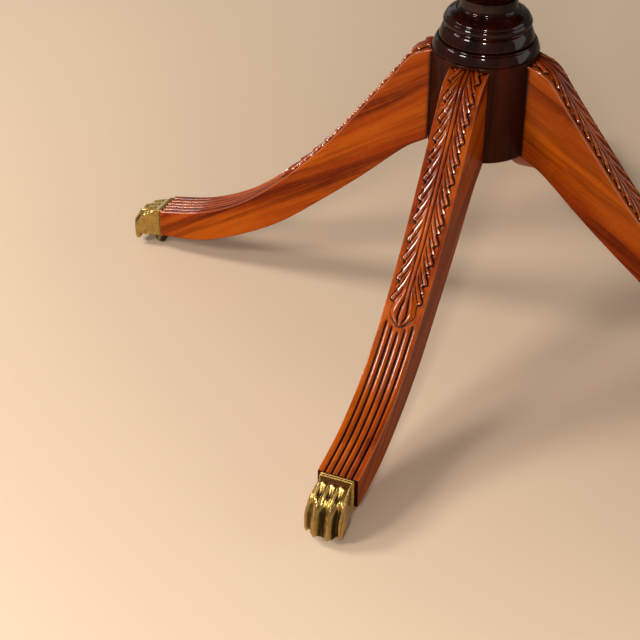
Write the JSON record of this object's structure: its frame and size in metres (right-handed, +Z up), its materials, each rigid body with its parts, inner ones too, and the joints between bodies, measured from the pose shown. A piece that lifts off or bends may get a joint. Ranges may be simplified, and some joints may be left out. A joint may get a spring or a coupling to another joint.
{
  "type": "round pedestal table",
  "caption": "Round pedestal table: fixed top on a turned column, four leaf-carved and reeded sabre legs, brass lion-paw caps on casters.",
  "frame": {"origin": "on the floor, on the column's axis", "axes": "+Z up along the column; the front leg points along -Y and the right leg along +X"},
  "size_m": [1.2184, 1.2184, 0.75],
  "materials": {
    "mahogany_top": "french polished mahogany, high gloss",
    "leg_mahogany": "polished orange-brown mahogany, darkened carving",
    "dark_mahogany": "very dark red-brown, high gloss",
    "hub_mahogany": "dark brown, satin gloss",
    "bearer_wood": "plain stained, unpolished",
    "aged_brass": "cast, rubbed, dark in the recesses",
    "caster_brass": "dull aged brass",
    "caster_wheel": "dark tarnished brass",
    "iron": "blackened iron plate",
    "screw_steel": "dull steel"
  },
  "bodies": {
    "table": {"table_top": "mahogany_top", "batten_left": "bearer_wood", "batten_right": "bearer_wood", "top_block": "bearer_wood", "column_shaft": "dark_mahogany", "column_collar": "dark_mahogany", "hub": "hub_mahogany", "spider_plate": "iron", "batten_screw_1": "screw_steel", "batten_screw_2": "screw_steel", "batten_screw_3": "screw_steel", "batten_screw_4": "screw_steel", "batten_screw_5": "screw_steel", "batten_screw_6": "screw_steel", "batten_screw_7": "screw_steel", "batten_screw_8": "screw_steel", "block_screw_1": "screw_steel", "block_screw_2": "screw_steel", "block_screw_3": "screw_steel", "block_screw_4": "screw_steel", "leg_right": "leg_mahogany", "paw_cap_right": "aged_brass", "spider_screw_right": "screw_steel", "paw_screw_right": "screw_steel", "leg_back": "leg_mahogany", "paw_cap_back": "aged_brass", "spider_screw_back": "screw_steel", "paw_screw_back": "screw_steel", "leg_left": "leg_mahogany", "paw_cap_left": "aged_brass", "spider_screw_left": "screw_steel", "paw_screw_left": "screw_steel", "leg_front": "leg_mahogany", "paw_cap_front": "aged_brass", "spider_screw_front": "screw_steel", "paw_screw_front": "screw_steel"},
    "caster_right": {"caster_fork_right": "caster_brass", "caster_axle_right": "screw_steel"},
    "wheel_right": {"caster_wheel_right": "caster_wheel"},
    "caster_back": {"caster_fork_back": "caster_brass", "caster_axle_back": "screw_steel"},
    "wheel_back": {"caster_wheel_back": "caster_wheel"},
    "caster_left": {"caster_fork_left": "caster_brass", "caster_axle_left": "screw_steel"},
    "wheel_left": {"caster_wheel_left": "caster_wheel"},
    "caster_front": {"caster_fork_front": "caster_brass", "caster_axle_front": "screw_steel"},
    "wheel_front": {"caster_wheel_front": "caster_wheel"}
  },
  "joints": [
    {"name": "caster_right_swivel", "type": "hinge", "parent": "table", "child": "caster_right", "pos_m": [0.408, 0, 0.0167], "axis": [0, 0, 1], "continuous": true},
    {"name": "wheel_right_roll", "type": "hinge", "parent": "caster_right", "child": "wheel_right", "pos_m": [0.4, 0, 0.00686], "axis": [0, 1, 0], "continuous": true},
    {"name": "caster_back_swivel", "type": "hinge", "parent": "table", "child": "caster_back", "pos_m": [0, 0.408, 0.0167], "axis": [0, 0, 1], "continuous": true},
    {"name": "wheel_back_roll", "type": "hinge", "parent": "caster_back", "child": "wheel_back", "pos_m": [0, 0.4, 0.00686], "axis": [-1, 0, 0], "continuous": true},
    {"name": "caster_left_swivel", "type": "hinge", "parent": "table", "child": "caster_left", "pos_m": [-0.408, 0, 0.0167], "axis": [0, 0, 1], "continuous": true},
    {"name": "wheel_left_roll", "type": "hinge", "parent": "caster_left", "child": "wheel_left", "pos_m": [-0.4, 0, 0.00686], "axis": [0, -1, 0], "continuous": true},
    {"name": "caster_front_swivel", "type": "hinge", "parent": "table", "child": "caster_front", "pos_m": [0, -0.408, 0.0167], "axis": [0, 0, 1], "continuous": true},
    {"name": "wheel_front_roll", "type": "hinge", "parent": "caster_front", "child": "wheel_front", "pos_m": [0, -0.4, 0.00686], "axis": [1, 0, 0], "continuous": true}
  ]
}
